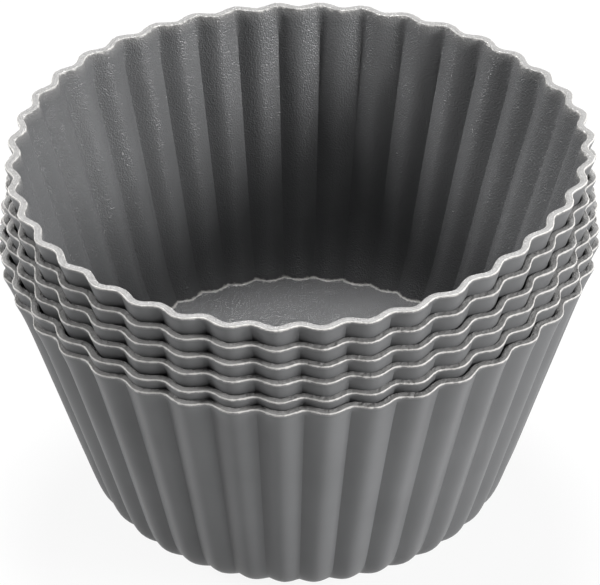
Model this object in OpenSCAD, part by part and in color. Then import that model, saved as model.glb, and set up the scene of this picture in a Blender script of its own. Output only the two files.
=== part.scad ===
// A nested stack of six fluted silicone baking cups, standing mouth up.
// The origin is the centre of the lowest cup's underside. Z is the axis of the stack.

/* [Cup] */
// Outside diameter at the lip, across two opposite lobes, of a cup with none nested in it
top_d = 70; // [62:1:84]
// Outside diameter that the wall would have at the underside, across two opposite lobes, with no heel
base_d = 49; // [40:1:54]
// Height of one cup
cup_h = 36; // [26:1:46]
// Thickness of the wall
wall_t = 0.4; // [0.3:0.05:0.7]
// Thickness of the floor
floor_t = 1.8; // [0.8:0.1:2.2]
// Height of the heel, the slope from the wall to the underside
heel_h = 3.6; // [2.4:0.2:6]
// Width of the heel
heel_w = 2.8; // [1:0.2:4]

/* [Flutes] */
// Number of flutes round the wall
flutes = 40; // [28:2:48]
// Depth of a flute at the lip
flute_depth_top = 1.2; // [0.6:0.1:1.6]
// Depth of a flute at the underside
flute_depth_base = 0.7; // [0.4:0.1:1.3]
// Shape of a flute, from a soft wave to a zigzag
flute_sharpness = 0.9; // [0.3:0.05:0.95]
// Corners that draw one flute on the wall, and twice as many as round the underside and the floor
flute_corners = 4; // [4:2:6]

/* [Lip] */
// Width of the lip's flat top
lip_w = 0.8; // [0.7:0.1:1.4]
// Height over which the wall thickens outwards into the lip
lip_h = 1.5; // [0.8:0.1:3]

/* [Stack] */
// Clearance between the walls of two cups pushed fully together
nest_gap = 0.03; // [0.02:0.01:0.2]
// How much further the top cup stands out of its neighbour than the second cup does
stack_ease = 0.8; // [0:0.05:1.5]
// How much each mouth is stretched open, in radius, for every cup nested in it
mouth_stretch = 0.1; // [0:0.01:0.2]

/* [Hidden] */
NODES = ["cup_1", "cup_2", "cup_3", "cup_4", "cup_5", "cup_6"];

// The wall is drawn round a middle line, half its thickness to each side.
half_wall = wall_t / 2;
crest_r_base = base_d / 2 - half_wall;
crest_r_top = top_d / 2 - lip_w + half_wall;
lip_offset = lip_w - half_wall;

// One ring of corners runs right round the cup, with a groove between two lobes at the front.
ring_corners = flutes * flute_corners;
half_corners = ring_corners / 2;
front_angle = -90;
groove_phase = 180;

// The inside of the heel is its outside, raised by the wall's thickness, and the floor cuts it off.
inner_heel_z = heel_h + wall_t;
floor_inset = heel_w * (inner_heel_z - floor_t) / heel_h;

// Steepest run of a flute's flank, as the cosine of its angle to the round.
flank_cos = min(flank_cos_at(0), flank_cos_at(cup_h));
// The wall's lean, taken where it is least, on the lobes or in the grooves.
lobe_lean = (crest_r_top - crest_r_base) / cup_h;
groove_lean = lobe_lean - (flute_depth_top - flute_depth_base) / cup_h;
wall_lean = min(lobe_lean, groove_lean);

// A cup goes down into the next one until its wall, lip or floor meets it.
wall_step = (wall_t + nest_gap) / (wall_lean * flank_cos);
tight_step = max(wall_step, lip_h + nest_gap, floor_t + nest_gap);
// The stack sits tightest at its foot, and each cup above stands out a little more.
top_index = len(NODES) - 1;
ease_step = stack_ease / (top_index - 1);

silicone_grey = [0.42, 0.42, 0.43];

// Share of the way from the underside to the lip
function rise(z) = z / cup_h;

function flute_depth(z) = flute_depth_base + (flute_depth_top - flute_depth_base) * rise(z);

// Radius of the lobes, on a wall whose mouth is stretched open by the cups nested in it
function crest_r(z, stretch) = crest_r_base + (crest_r_top + stretch - crest_r_base) * rise(z);

// Height of the flute's wave, 1 on a lobe and -1 in a groove
function wave(phase) = asin(flute_sharpness * cos(phase)) / asin(flute_sharpness);

// Change of the wave with its phase in radians
function wave_slope(phase) =
    let (run = sqrt(1 - pow(flute_sharpness * cos(phase), 2)))
    -flute_sharpness * sin(phase) / run * (180 / PI) / asin(flute_sharpness);

function flank_cos_at(z) =
    let (swing = flute_depth(z) / 2 * flutes * wave_slope(90))
    let (r = crest_r(z, 0) - flute_depth(z) / 2)
    r / sqrt(r * r + swing * swing);

// A corner of the wall at the given height, to one side of the middle line
function wall_corner(index, z, side, stretch, inset) =
    let (angle = front_angle + 360 * index / ring_corners)
    let (phase = groove_phase + 360 * index / flute_corners)
    let (r = crest_r(z, stretch) - inset - flute_depth(z) / 2 * (1 - wave(phase)))
    let (swing = flute_depth(z) / 2 * flutes * wave_slope(phase))
    let (normal = [r, -swing] / sqrt(r * r + swing * swing))
    let (out = r + side * normal[0])
    let (across = side * normal[1])
    [out * cos(angle) - across * sin(angle), out * sin(angle) + across * cos(angle), z];

function ring(z, side, stretch) =
    [for (index = [0 : ring_corners - 1]) wall_corner(index, z, side, stretch, 0)];

// A ring with every second corner, set in from the wall
function half_ring(z, side, stretch, inset) =
    [for (index = [0 : half_corners - 1]) wall_corner(2 * index, z, side, stretch, inset)];

// Two triangles for each corner between a full ring and the next one
function band(first) =
    let (next = first + ring_corners)
    [for (index = [0 : ring_corners - 1])
        let (turn = (index + 1) % ring_corners)
        each [
            [first + index, next + index, next + turn],
            [first + index, next + turn, first + turn]
        ]
    ];

// Three triangles for each corner of a half ring, up to the full ring above it
function seam(half_first, full_first) =
    [for (index = [0 : half_corners - 1])
        let (here = half_first + index)
        let (turn = half_first + (index + 1) % half_corners)
        let (above = full_first + 2 * index)
        let (above_turn = full_first + (2 * index + 2) % ring_corners)
        each [
            [here, above, above + 1],
            [here, above + 1, turn],
            [turn, above + 1, above_turn]
        ]
    ];

// One triangle for each corner of a half ring, to its middle
function disc(first, middle) =
    [for (index = [0 : half_corners - 1]) [middle, first + index, first + (index + 1) % half_corners]];

function turned_over(triangles) = [for (corners = triangles) [corners[0], corners[2], corners[1]]];

// Height of a cup's underside, counted from the lowest cup at 0
function cup_z(index) = index * tight_step + ease_step * index * (index - 1) / 2;

// One moulded cup: the underside, the heel, the fluted wall, the lip, the inside and the floor
module fluted_cup(stretch) {
    underside = half_ring(0, half_wall, stretch, heel_w);
    rings = [
        ring(heel_h, half_wall, stretch),
        ring(cup_h - lip_h, half_wall, stretch),
        ring(cup_h, lip_offset, stretch),
        ring(cup_h, -half_wall, stretch),
        ring(inner_heel_z, -half_wall, stretch)
    ];
    floor_edge = half_ring(floor_t, -half_wall, stretch, floor_inset);
    middles = [[0, 0, 0], [0, 0, floor_t]];

    outer_heel = half_corners;
    inner_heel = outer_heel + (len(rings) - 1) * ring_corners;
    floor_first = inner_heel + ring_corners;
    underside_middle = floor_first + half_corners;
    floor_middle = underside_middle + 1;
    skin = [for (first = [outer_heel : ring_corners : inner_heel - 1]) each band(first)];
    polyhedron(
        points = concat(underside, [for (each_ring = rings) each each_ring], floor_edge, middles),
        faces = concat(
            disc(0, underside_middle),
            seam(0, outer_heel),
            skin,
            turned_over(seam(floor_first, inner_heel)),
            turned_over(disc(floor_first, floor_middle))
        )
    );
}

module stacked_cup(index) {
    color(silicone_grey)
    translate([0, 0, cup_z(index)])
    fluted_cup(mouth_stretch * (top_index - index));
}

// The lowest cup, which carries the others
module cup_1() {
    stacked_cup(0);
}

module cup_2() {
    stacked_cup(1);
}

module cup_3() {
    stacked_cup(2);
}

module cup_4() {
    stacked_cup(3);
}

module cup_5() {
    stacked_cup(4);
}

// The top cup, open to view
module cup_6() {
    stacked_cup(5);
}

cup_1();
cup_2();
cup_3();
cup_4();
cup_5();
cup_6();
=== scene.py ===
from collections import namedtuple
from math import atan2, cos, degrees, hypot, pi, radians, sin

import bmesh
import bpy
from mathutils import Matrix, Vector


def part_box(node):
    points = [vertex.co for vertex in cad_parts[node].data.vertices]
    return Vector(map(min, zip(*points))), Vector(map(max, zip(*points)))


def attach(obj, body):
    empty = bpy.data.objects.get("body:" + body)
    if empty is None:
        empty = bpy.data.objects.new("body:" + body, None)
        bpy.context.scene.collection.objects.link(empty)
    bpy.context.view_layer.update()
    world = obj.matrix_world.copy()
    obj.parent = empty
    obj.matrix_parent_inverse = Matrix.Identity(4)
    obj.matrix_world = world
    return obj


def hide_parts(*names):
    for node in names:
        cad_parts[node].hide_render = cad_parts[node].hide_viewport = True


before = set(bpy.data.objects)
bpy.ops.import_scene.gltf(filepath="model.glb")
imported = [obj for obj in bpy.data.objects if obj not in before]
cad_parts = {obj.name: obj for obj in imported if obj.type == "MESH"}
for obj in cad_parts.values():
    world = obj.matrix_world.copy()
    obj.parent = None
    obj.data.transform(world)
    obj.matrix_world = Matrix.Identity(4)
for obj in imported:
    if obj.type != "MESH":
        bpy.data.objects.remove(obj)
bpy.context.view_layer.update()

MM = 0.001

# The cup's sizes, as it is moulded, in mm
CUPS = sorted(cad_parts)
CUP_H = (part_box(CUPS[0])[1].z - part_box(CUPS[0])[0].z) / MM
FOOT_R = 24.7
MOUTH_R = 35.0
WALL = 0.4
LIP = 0.7
FLOOR = 2.0
HEEL_R = 4.9
INNER_HEEL = 0.9
FLUTES = 40
DEPTH_FOOT = 0.65
DEPTH_MOUTH = 1.2

# Four points of the cage draw one flute: a groove, a flank, a lobe and a flank.
FLUTE_POINTS = 4
RING_POINTS = FLUTES * FLUTE_POINTS
# The outer skin is sharp in its grooves, and the inner skin is sharp behind its lobes.
OUTER = "outer"
INNER = "inner"
SHARP = 0.8
# The lip stays a soft wave: the lines end this far below it.
SOFT_LIP = 0.2
SMOOTH_LEVELS = 2
# How far down a flank lies from its lobe, as a share of the depth: 0.5 is straight and 0.25 is a round arc.
FLANK = 0.33

# Where the cage has its rings: round the heel by angle, then up the wall and below the lip's top, in mm
HEEL_ANGLES = (60, 30, 0)
WALL_HEIGHTS = (12, 20, 28)
UNDER_LIP = 4
LIP_START = 1.6
LIP_SIDE = 0.3
# The middle of the lip's top stands this much above its edges.
LIP_CROWN = 0.02
# Height of the lowest ring of the inside wall, and how far above the floor its bend has a ring of its own
INNER_HEEL_TOP = 8
INNER_HEEL_RISE = 2.2

# How pale a painted highlight makes the lip's outer and inner edges and the edge of the floor, standing in
# for the light that their bends catch
OUTER_EDGE_HIGHLIGHT = 1.0
INNER_EDGE_HIGHLIGHT = 0.7
FLOOR_EDGE_HIGHLIGHT = 0.9
# The lip's outer edge is nicked this deep, in mm, by a noise of this size.
NICK_DEPTH = 0.16
NICK_SIZE = 0.5

BODY_GREY = (0.089, 0.09, 0.092, 1)
# The pale grey of the painted highlights along the lip's edges and of the painted light on its top
PAINTED_HIGHLIGHT_GREY = (0.42, 0.41, 0.395, 1)
# How far the lip's top goes towards its pale edges: painted light, standing in for the light that the
# up-facing lip catches
LIP_PAINTED_LIGHT_SHARE = 0.3
# How strongly the skin mirrors, and how dull it is outside and inside
GLOSS = 0.2
ROUGH_OUTSIDE = 0.45
ROUGH_INSIDE = 0.12
# Scales of the noises in the material, as lumps to the metre, and the depth of the bump in mm
CLOUD_SCALE = 90
RAGGED_SCALE = 1800
GRAIN_SCALE = 5200
NICK_SCALE = 1600
BUMP_DEPTH = 0.1
# The outside has this share of the inside's grain, and the lip's nicks are so many times as deep.
OUTSIDE_GRAIN = 0.03
LIP_NICKS = 2.6


def wall_r(height):
    """Radius of the lobes on the outside of the wall, in mm."""
    return FOOT_R + (MOUTH_R - LIP + WALL - FOOT_R) * height / CUP_H


def flute_depth(height):
    return DEPTH_FOOT + (DEPTH_MOUTH - DEPTH_FOOT) * height / CUP_H


def cage_radii(skin, lobe_r, depth):
    """Radii of a ring's groove, flank and lobe points, which the smoothing pulls to the wanted arcs."""
    spread = (1 - 6 * FLANK) / 3.5 * depth
    if skin == OUTER:
        return lobe_r - depth, lobe_r + spread, lobe_r - spread / 2
    groove_r = lobe_r - depth
    return groove_r + spread / 2, groove_r - spread, lobe_r


# A ring of the cage: its skin, its height, the radius of its lobes, how much of the flutes' depth shows there
# and how pale a painted highlight makes the edge along it.
Ring = namedtuple("Ring", "skin height lobe_r shown edge", defaults=(1.0, 0.0))


def cup_rings():
    """The rings of the cage, from the underside up the outside and down the inside."""
    top = CUP_H
    rings = [Ring(OUTER, 0.0, wall_r(0) - HEEL_R - 3.5, 0.1), Ring(OUTER, 0.0, wall_r(0) - HEEL_R, 0.6)]
    for angle in HEEL_ANGLES:
        height = HEEL_R * (1 - sin(radians(angle)))
        rings.append(Ring(OUTER, height, wall_r(height) - HEEL_R * (1 - cos(radians(angle)))))
    rings += [Ring(OUTER, height, wall_r(height)) for height in (*WALL_HEIGHTS, top - UNDER_LIP)]
    rings += [
        Ring(OUTER, top - LIP_START, wall_r(top - LIP_START) + (LIP - WALL) * 0.35),
        Ring(OUTER, top - LIP_SIDE, MOUTH_R - 0.05),
        # The lip's outer and inner edges carry a painted highlight, standing in for the light that their
        # rounded bends catch.
        Ring(OUTER, top, MOUTH_R - 0.07, edge=OUTER_EDGE_HIGHLIGHT),
        Ring(OUTER, top + LIP_CROWN, MOUTH_R - 0.3),
        Ring(INNER, top + LIP_CROWN, MOUTH_R - LIP + 0.28),
        Ring(INNER, top, MOUTH_R - LIP + 0.03, edge=INNER_EDGE_HIGHLIGHT),
        Ring(INNER, top - LIP_SIDE, wall_r(top - LIP_SIDE) - WALL),
    ]
    for height in (*reversed(WALL_HEIGHTS), INNER_HEEL_TOP):
        rings.append(Ring(INNER, height, wall_r(height) - WALL))
    foot_r = wall_r(FLOOR) - WALL - INNER_HEEL
    bend_top = FLOOR + INNER_HEEL_RISE
    rings += [
        Ring(INNER, bend_top, wall_r(bend_top) - WALL - INNER_HEEL * 0.35),
        Ring(INNER, FLOOR + 0.3, foot_r),
        # The floor's edge carries a painted highlight, standing in for the light that its bend catches.
        Ring(INNER, FLOOR, foot_r - 0.1, edge=FLOOR_EDGE_HIGHLIGHT),
        Ring(INNER, FLOOR, foot_r - 0.5),
        Ring(INNER, FLOOR, foot_r - 3, 0.3),
    ]
    return rings


def selected_points(mesh):
    """Numbers of the points that are selected in edit mode."""
    return [v.index for v in bmesh.from_edit_mesh(mesh).verts if v.select]


def select_points(mesh, wanted):
    bpy.ops.mesh.select_all(action="DESELECT")
    shape = bmesh.from_edit_mesh(mesh)
    shape.verts.ensure_lookup_table()
    for index in wanted:
        shape.verts[index].select_set(True)
    shape.select_flush(True)
    bmesh.update_edit_mesh(mesh)


def flute_place(point):
    """Which of a flute's four points this is: 0 is the groove, 2 is the lobe."""
    turn = degrees(atan2(point.y, point.x)) % 360
    return round(turn / (360 / RING_POINTS)) % FLUTE_POINTS


def scale_round(factor):
    """Scales what is selected about the cup's axis."""
    bpy.ops.transform.resize(value=(factor, factor, 1), center_override=(0, 0, 0))


def mould_cup():
    """One cup, from a disc that is drawn up into the wall, over the lip and down to the floor."""
    rings = cup_rings()
    bpy.ops.object.select_all(action="DESELECT")
    bpy.ops.mesh.primitive_circle_add(
        vertices=RING_POINTS, radius=rings[0].lobe_r * MM, fill_type="NGON", location=(0, 0, 0)
    )
    cup = bpy.context.object
    bpy.ops.object.mode_set(mode="EDIT")
    bpy.ops.mesh.select_mode(type="VERT")
    bpy.ops.mesh.select_all(action="SELECT")
    ring_points = [selected_points(cup.data)]
    for last, ring in zip(rings, rings[1:]):
        lift = (ring.height - last.height) * MM
        bpy.ops.mesh.extrude_region_move(TRANSFORM_OT_translate={"value": (0, 0, lift)})
        scale_round(ring.lobe_r / last.lobe_r)
        ring_points.append(selected_points(cup.data))
    flute_the_rings(cup, rings, ring_points)
    sharpen_lines(cup, rings, ring_points)
    bpy.ops.mesh.select_all(action="SELECT")
    bpy.ops.mesh.normals_make_consistent(inside=False)
    bpy.ops.object.mode_set(mode="OBJECT")
    mark_skins(cup, rings, ring_points)
    return cup


def flute_the_rings(cup, rings, ring_points):
    """Draws the lobes out and the grooves in, ring by ring."""
    for ring, points in zip(rings, ring_points):
        groove, flank, lobe = cage_radii(ring.skin, ring.lobe_r, flute_depth(ring.height) * ring.shown)
        shape = bmesh.from_edit_mesh(cup.data)
        shape.verts.ensure_lookup_table()
        places = {index: flute_place(shape.verts[index].co) for index in points}
        for place, radius in ((0, groove), (1, flank), (2, lobe), (3, flank)):
            select_points(cup.data, [index for index in points if places[index] == place])
            scale_round(radius / ring.lobe_r)


def sharpen_lines(cup, rings, ring_points):
    """Creases the lines up the outer grooves and up the inner lobes, from the foot to just under the lip."""
    sharp_place = {OUTER: 0, INNER: 2}
    sharp_points = set()
    bpy.ops.mesh.select_all(action="DESELECT")
    shape = bmesh.from_edit_mesh(cup.data)
    shape.verts.ensure_lookup_table()
    for ring, points in zip(rings, ring_points):
        if ring.height < CUP_H - SOFT_LIP:
            sharp_points |= {i for i in points if flute_place(shape.verts[i].co) == sharp_place[ring.skin]}
    bpy.ops.mesh.select_mode(type="EDGE")
    for edge in shape.edges:
        a, b = edge.verts
        edge.select_set(a.index in sharp_points and b.index in sharp_points)
    bmesh.update_edit_mesh(cup.data)
    bpy.ops.transform.edge_crease(value=SHARP)
    bpy.ops.mesh.select_mode(type="VERT")


def mark_skins(cup, rings, ring_points):
    """Marks on each point how much it belongs to the lip, an edge with a painted highlight and the inside,
    for the material.
    """
    marks = {name: cup.data.attributes.new(name, "FLOAT", "POINT").data for name in ("lip", "edge", "inside")}
    for ring, points in zip(rings, ring_points):
        for index in points:
            marks["lip"][index].value = float(ring.height >= CUP_H)
            # The edge mark says how strongly a painted highlight lies along the point.
            marks["edge"][index].value = ring.edge
            marks["inside"][index].value = float(ring.skin == INNER)


def apply_modifier(piece, kind, **settings):
    """Adds a modifier with these settings and applies it."""
    modifier = piece.modifiers.new(kind.lower(), kind)
    for name, value in settings.items():
        setattr(modifier, name, value)
    bpy.ops.object.select_all(action="DESELECT")
    bpy.context.view_layer.objects.active = piece
    piece.select_set(True)
    bpy.ops.object.modifier_apply(modifier=modifier.name)


def copy_piece(piece, name):
    """A copy with its own mesh."""
    twin = piece.copy()
    twin.data = piece.data.copy()
    twin.name = name
    twin.data.name = name
    bpy.context.scene.collection.objects.link(twin)
    return twin


def bake_place(piece):
    """Moves the piece's place into its mesh."""
    bpy.ops.object.select_all(action="DESELECT")
    bpy.context.view_layer.objects.active = piece
    piece.select_set(True)
    bpy.ops.object.transform_apply(location=True, rotation=True, scale=True)


# How much each mouth is stretched open for every cup nested in it
MOUTH_STRETCH = 0.1
# How the top cup's soft mouth stands off the round: for each number of waves round it, the swing in mm and
# the phase in degrees. No waves is a plain widening or lift. The cups below follow it, each a little less.
MOUTH_IN_OUT = {1: (0.36, 95), 2: (0.67, 104), 3: (0.32, 74), 5: (0.12, -15)}
MOUTH_UP_DOWN = {0: (0.14, 0), 1: (0.32, 21), 2: (0.56, -44), 3: (0.31, -68), 4: (0.07, -53)}
FOLLOW = 0.85
# How much further each mouth is drawn oval, tilted and saddled, and turned, than the one above it
DRIFT_IN_OUT = {2: (0.07, 45)}
DRIFT_UP_DOWN = {1: (0.09, 138), 2: (0.07, -95)}
DRIFT_TURN = 0.13
# How some mouths are pushed in and out, and up and down, by themselves
PUSHED = {
    "cup_1": {0: (0.41, 0), 1: (0.18, 109), 2: (0.2, -123)},
    "cup_2": {0: (0.18, 0), 1: (0.09, 169), 2: (0.27, 30)},
    "cup_4": {0: (0.04, 0), 1: (0.06, 84)},
    "cup_5": {1: (0.19, 34), 2: (0.15, 96)},
}
LIFTED = {"cup_2": {1: (0.28, 148), 2: (0.27, -6)}, "cup_5": {2: (0.16, -32)}}
LATTICE_POINTS = 15
LATTICE_MARGIN = 1.1


def waves_at(turn, waves):
    """Sum of the waves at an angle round the mouth, in mm."""
    return sum(swing * cos(count * turn - radians(crest)) for count, (swing, crest) in waves.items())


def bend_mouth(cup, index):
    """Stretches and bends the cup's soft wall with a lattice, more towards the lip."""
    low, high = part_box(CUPS[index])
    width = 2 * MOUTH_R * MM * LATTICE_MARGIN
    bpy.ops.object.add(type="LATTICE", location=(0, 0, (low.z + high.z) / 2))
    lattice = bpy.context.object
    lattice.scale = (width, width, high.z - low.z)
    grid = lattice.data
    grid.points_u = grid.points_v = LATTICE_POINTS
    grid.points_w = 2
    grid.interpolation_type_u = grid.interpolation_type_v = "KEY_CATMULL_ROM"
    grid.interpolation_type_w = "KEY_LINEAR"
    above = len(CUPS) - 1 - index
    follow = FOLLOW ** above
    for point in grid.points:
        if point.co.z < 0:
            continue
        turn = atan2(point.co.y, point.co.x)
        reach = hypot(point.co.x, point.co.y) * width / (MOUTH_R * MM)
        outwards = follow * waves_at(turn, MOUTH_IN_OUT) + above * waves_at(turn, DRIFT_IN_OUT)
        outwards += waves_at(turn, PUSHED.get(CUPS[index], {})) + MOUTH_STRETCH * above
        upwards = follow * waves_at(turn, MOUTH_UP_DOWN) + above * waves_at(turn, DRIFT_UP_DOWN)
        upwards += waves_at(turn, LIFTED.get(CUPS[index], {}))
        around = DRIFT_TURN * above
        outwards, upwards, around = (move * reach * MM for move in (outwards, upwards, around))
        point.co_deform = Vector((
            point.co.x + (outwards * cos(turn) - around * sin(turn)) / width,
            point.co.y + (outwards * sin(turn) + around * cos(turn)) / width,
            point.co.z + upwards / (high.z - low.z),
        ))
    apply_modifier(cup, "LATTICE", object=lattice)
    bpy.data.objects.remove(lattice)


def nick_edge(cup):
    """Leaves the lip's outer edge a little ragged, as the mould's parting does."""
    group = cup.vertex_groups.new(name="outer edge")
    for point, mark in zip(cup.data.vertices, cup.data.attributes["edge"].data):
        if mark.value > 0.3 and hypot(point.co.x, point.co.y) > (MOUTH_R - DEPTH_MOUTH - LIP / 2) * MM:
            group.add([point.index], mark.value, "REPLACE")
    clouds = bpy.data.textures.new("nicks", "CLOUDS")
    clouds.noise_scale = NICK_SIZE * MM
    clouds.noise_depth = 1
    deep = NICK_DEPTH * MM
    apply_modifier(
        cup, "DISPLACE", texture=clouds, texture_coords="GLOBAL", vertex_group=group.name, strength=deep
    )
    cup.vertex_groups.clear()


def group_of(name, inputs, outputs):
    """An empty node group with these named inputs (with their defaults) and outputs."""
    group = bpy.data.node_groups.new(name, "ShaderNodeTree")
    for label, kind, default in inputs:
        socket = group.interface.new_socket(label, in_out="INPUT", socket_type=kind)
        socket.default_value = default
    for label, kind in outputs:
        group.interface.new_socket(label, in_out="OUTPUT", socket_type=kind)
    return group, group.nodes.new("NodeGroupInput"), group.nodes.new("NodeGroupOutput")


def noise(group, place, scale, detail):
    texture = group.nodes.new("ShaderNodeTexNoise")
    texture.inputs["Scale"].default_value = scale
    texture.inputs["Detail"].default_value = detail
    group.links.new(place, texture.inputs["Vector"])
    return texture.outputs["Fac"]


def ramp(group, value, low, high, to_low=0.0, to_high=1.0):
    """Maps the value from one range to another, and stops at its ends."""
    node = group.nodes.new("ShaderNodeMapRange")
    node.inputs["From Min"].default_value = low
    node.inputs["From Max"].default_value = high
    node.inputs["To Min"].default_value = to_low
    node.inputs["To Max"].default_value = to_high
    group.links.new(value, node.inputs["Value"])
    return node.outputs["Result"]


def maths(group, operation, first, second):
    node = group.nodes.new("ShaderNodeMath")
    node.operation = operation
    for socket, value in zip(node.inputs, (first, second)):
        if isinstance(value, (int, float)):
            socket.default_value = value
        else:
            group.links.new(value, socket)
    return node.outputs["Value"]


def blend(group, share, first, second, kind="MIX"):
    node = group.nodes.new("ShaderNodeMix")
    node.data_type = "RGBA"
    node.blend_type = kind
    for label, value in (("Factor_Float", share), ("A_Color", first), ("B_Color", second)):
        socket = next(one for one in node.inputs if one.identifier == label)
        if isinstance(value, (int, float, tuple)):
            socket.default_value = value
        else:
            group.links.new(value, socket)
    return next(one for one in node.outputs if one.identifier == "Result_Color")


def tone_group():
    """The colour of the silicone, a little cloudy, with painted light: the lip's top made paler and a painted
    highlight along ragged edges, standing in for the light they catch.
    """
    group, given, made = group_of(
        "silicone tone",
        [
            ("Place", "NodeSocketVector", (0, 0, 0)),
            ("Body", "NodeSocketColor", (0.1, 0.1, 0.1, 1)),
            ("Highlight Grey", "NodeSocketColor", (0.3, 0.3, 0.3, 1)),
            ("Lip", "NodeSocketFloat", 0.0),
            ("Edge", "NodeSocketFloat", 0.0),
        ],
        [("Color", "NodeSocketColor")],
    )
    place = given.outputs["Place"]
    cloud = ramp(group, noise(group, place, CLOUD_SCALE, 3), 0.3, 0.7, 0.92, 1.08)
    cloudy = blend(group, 1.0, given.outputs["Body"], cloud, "MULTIPLY")
    # Painted highlight: the marked edges go pale, raggedly, standing in for the light that catches them.
    ragged = maths(group, "SUBTRACT", noise(group, place, RAGGED_SCALE, 3), 0.5)
    edge = ramp(group, maths(group, "ADD", given.outputs["Edge"], ragged), 0.35, 0.75)
    # Painted light: the lip's top goes part of the way to the pale grey, standing in for the light that the
    # up-facing lip catches.
    painted_light = maths(group, "MAXIMUM", edge, maths(group, "MULTIPLY", given.outputs["Lip"], LIP_PAINTED_LIGHT_SHARE))
    group.links.new(blend(group, painted_light, cloudy, given.outputs["Highlight Grey"]), made.inputs["Color"])
    return group


def grain_group():
    """The skin of the silicone: a fine grain, mostly on the inside, and nicks along the lip."""
    group, given, made = group_of(
        "silicone grain",
        [
            ("Place", "NodeSocketVector", (0, 0, 0)),
            ("Inside", "NodeSocketFloat", 0.0),
            ("Lip", "NodeSocketFloat", 0.0),
        ],
        [("Height", "NodeSocketFloat"), ("Roughness", "NodeSocketFloat")],
    )
    place = given.outputs["Place"]
    inside = given.outputs["Inside"]
    share = maths(group, "ADD", maths(group, "MULTIPLY", inside, 1 - OUTSIDE_GRAIN), OUTSIDE_GRAIN)
    fine = maths(group, "MULTIPLY", noise(group, place, GRAIN_SCALE, 1), share)
    lip = maths(group, "MULTIPLY", given.outputs["Lip"], LIP_NICKS)
    nicks = maths(group, "MULTIPLY", noise(group, place, NICK_SCALE, 3), lip)
    group.links.new(maths(group, "ADD", fine, nicks), made.inputs["Height"])
    group.links.new(ramp(group, inside, 0, 1, ROUGH_OUTSIDE, ROUGH_INSIDE), made.inputs["Roughness"])
    return group


def silicone():
    material = bpy.data.materials.new("grey silicone")
    material.use_nodes = True
    tree = material.node_tree
    shader = tree.nodes["Principled BSDF"]
    shader.inputs["Specular IOR Level"].default_value = GLOSS
    place = tree.nodes.new("ShaderNodeTexCoord").outputs["Object"]
    marks = {}
    for name in ("lip", "edge", "inside"):
        node = tree.nodes.new("ShaderNodeAttribute")
        node.attribute_name = name
        marks[name] = node.outputs["Fac"]
    tone = tree.nodes.new("ShaderNodeGroup")
    tone.node_tree = tone_group()
    tone.inputs["Body"].default_value = BODY_GREY
    # The pale grey of the painted highlights and the painted light on the lip
    tone.inputs["Highlight Grey"].default_value = PAINTED_HIGHLIGHT_GREY
    grain = tree.nodes.new("ShaderNodeGroup")
    grain.node_tree = grain_group()
    bump = tree.nodes.new("ShaderNodeBump")
    bump.inputs["Strength"].default_value = 1.0
    bump.inputs["Distance"].default_value = BUMP_DEPTH * MM
    for group in (tone, grain):
        tree.links.new(place, group.inputs["Place"])
        tree.links.new(marks["lip"], group.inputs["Lip"])
    # The edge mark carries the painted highlight along the lip's edges and the floor's edge.
    tree.links.new(marks["edge"], tone.inputs["Edge"])
    tree.links.new(marks["inside"], grain.inputs["Inside"])
    tree.links.new(tone.outputs["Color"], shader.inputs["Base Color"])
    tree.links.new(grain.outputs["Roughness"], shader.inputs["Roughness"])
    tree.links.new(grain.outputs["Height"], bump.inputs["Height"])
    tree.links.new(bump.outputs["Normal"], shader.inputs["Normal"])
    return material


moulded = mould_cup()
apply_modifier(
    moulded, "SUBSURF", levels=SMOOTH_LEVELS, render_levels=SMOOTH_LEVELS, boundary_smooth="PRESERVE_CORNERS"
)
bpy.ops.object.shade_smooth_by_angle(angle=radians(40))
grey = silicone()
moulded.data.materials.clear()
moulded.data.materials.append(grey)
for index, node in enumerate(CUPS):
    cup = copy_piece(moulded, f"fluted_{node}")
    cup.location.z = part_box(node)[0].z
    bake_place(cup)
    bend_mouth(cup, index)
    nick_edge(cup)
    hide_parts(node)
    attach(cup, "root")
bpy.data.objects.remove(moulded)


# The camera stands where the one of the photo seems to have stood, and has a long lens.
PHOTO_WIDTH = 600
CAMERA_TILT = radians(34.83)
CAMERA_DISTANCE = 0.4378
CAMERA_AIM = Vector((0.0001, 0, 0.0274))
CAMERA_LENS_PIXELS = 3623
SENSOR = 36.0


def photo_camera():
    camera = bpy.data.objects.new("camera", bpy.data.cameras.new("camera"))
    bpy.context.scene.collection.objects.link(camera)
    camera.data.sensor_width = SENSOR
    camera.data.lens = SENSOR * CAMERA_LENS_PIXELS / PHOTO_WIDTH
    camera.location = CAMERA_AIM + CAMERA_DISTANCE * Vector((0, -cos(CAMERA_TILT), sin(CAMERA_TILT)))
    camera.rotation_euler = (pi / 2 - CAMERA_TILT, 0, 0)
    camera.data.clip_end = 50
    bpy.context.scene.camera = camera


def seen_or_mirrored(nodes, links):
    """1 for what the camera sees, also by way of a mirror or glass, and 0 for the light on things."""
    path = nodes.new("ShaderNodeLightPath")
    mirrored = nodes.new("ShaderNodeMath")
    seen = nodes.new("ShaderNodeMath")
    mirrored.operation = seen.operation = "MAXIMUM"
    links.new(path.outputs["Is Glossy Ray"], mirrored.inputs[0])
    links.new(path.outputs["Is Transmission Ray"], mirrored.inputs[1])
    links.new(path.outputs["Is Camera Ray"], seen.inputs[0])
    links.new(mirrored.outputs[0], seen.inputs[1])
    return seen.outputs[0]


FLOOR_GREY = (0.5, 0.5, 0.5, 1)
# Share of the floor that the camera sees as white, and the faint light from all round
FLOOR_GLOW = 0.9
ROOM_FILL = 0.03
WHITE = (1, 1, 1, 1)


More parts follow.
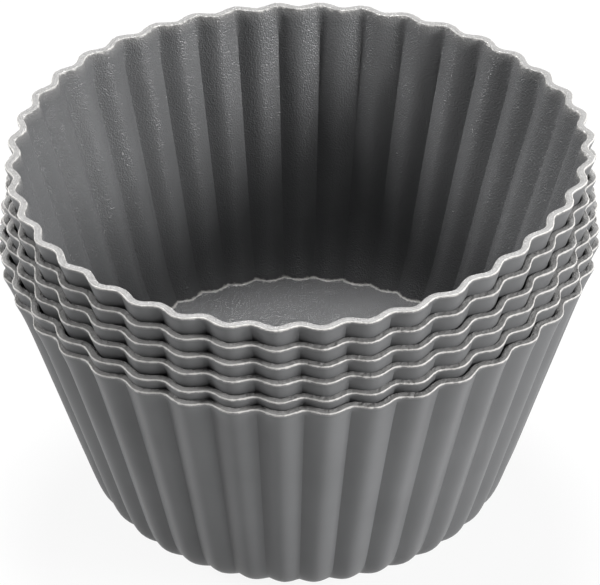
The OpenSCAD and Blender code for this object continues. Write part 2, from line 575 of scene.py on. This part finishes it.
def white_floor():
    bpy.ops.mesh.primitive_plane_add(size=4, location=(0, 0, -0.0001))
    floor = bpy.context.object
    floor.name = "floor"
    material = bpy.data.materials.new("pale floor")
    material.use_nodes = True
    nodes, links = material.node_tree.nodes, material.node_tree.links
    shader = nodes["Principled BSDF"]
    shader.inputs["Base Color"].default_value = FLOOR_GREY
    shader.inputs["Roughness"].default_value = 0.9
    glow = nodes.new("ShaderNodeEmission")
    glow.inputs["Color"].default_value = WHITE
    mix = nodes.new("ShaderNodeMixShader")
    share = nodes.new("ShaderNodeMath")
    share.operation = "MULTIPLY"
    share.inputs[1].default_value = FLOOR_GLOW
    links.new(seen_or_mirrored(nodes, links), share.inputs[0])
    links.new(share.outputs[0], mix.inputs[0])
    links.new(shader.outputs[0], mix.inputs[1])
    links.new(glow.outputs[0], mix.inputs[2])
    links.new(mix.outputs[0], nodes["Material Output"].inputs["Surface"])
    floor.data.materials.append(material)


LAMP_AIM = Vector((0, 0, 0.03))
LAMP_DISTANCE = 0.85
LAMP_SIZE = 0.3


def soft_light(name, turn, height, power):
    """A round lamp, so many degrees round from the right and up from the table."""
    turn, height = radians(turn), radians(height)
    out = Vector((cos(height) * cos(turn), cos(height) * sin(turn), sin(height)))
    lamp = bpy.data.objects.new(name, bpy.data.lights.new(name, "AREA"))
    lamp.data.shape = "DISK"
    lamp.data.size = LAMP_SIZE
    lamp.data.energy = power
    lamp.location = LAMP_AIM + LAMP_DISTANCE * out
    lamp.rotation_euler = out.to_track_quat("Z", "Y").to_euler()
    bpy.context.scene.collection.objects.link(lamp)


def light_room():
    world = bpy.data.worlds.new("studio")
    bpy.context.scene.world = world
    world.use_nodes = True
    nodes, links = world.node_tree.nodes, world.node_tree.links
    back = nodes["Background"]
    back.inputs["Color"].default_value = WHITE
    back.inputs["Strength"].default_value = ROOM_FILL
    white = nodes.new("ShaderNodeBackground")
    white.inputs["Color"].default_value = WHITE
    mix = nodes.new("ShaderNodeMixShader")
    links.new(seen_or_mirrored(nodes, links), mix.inputs[0])
    links.new(back.outputs[0], mix.inputs[1])
    links.new(white.outputs[0], mix.inputs[2])
    links.new(mix.outputs[0], nodes["World Output"].inputs["Surface"])
    soft_light("right", -20, 22, 10.2)
    soft_light("right front high", -40, 26, 2.4)
    soft_light("right front low", -40, 10, 1.8)
    soft_light("left", 180, 26, 8.2)
    soft_light("back", 90, 68, 13.5)


photo_camera()
white_floor()
light_room()
bpy.context.scene.view_settings.view_transform = "Standard"
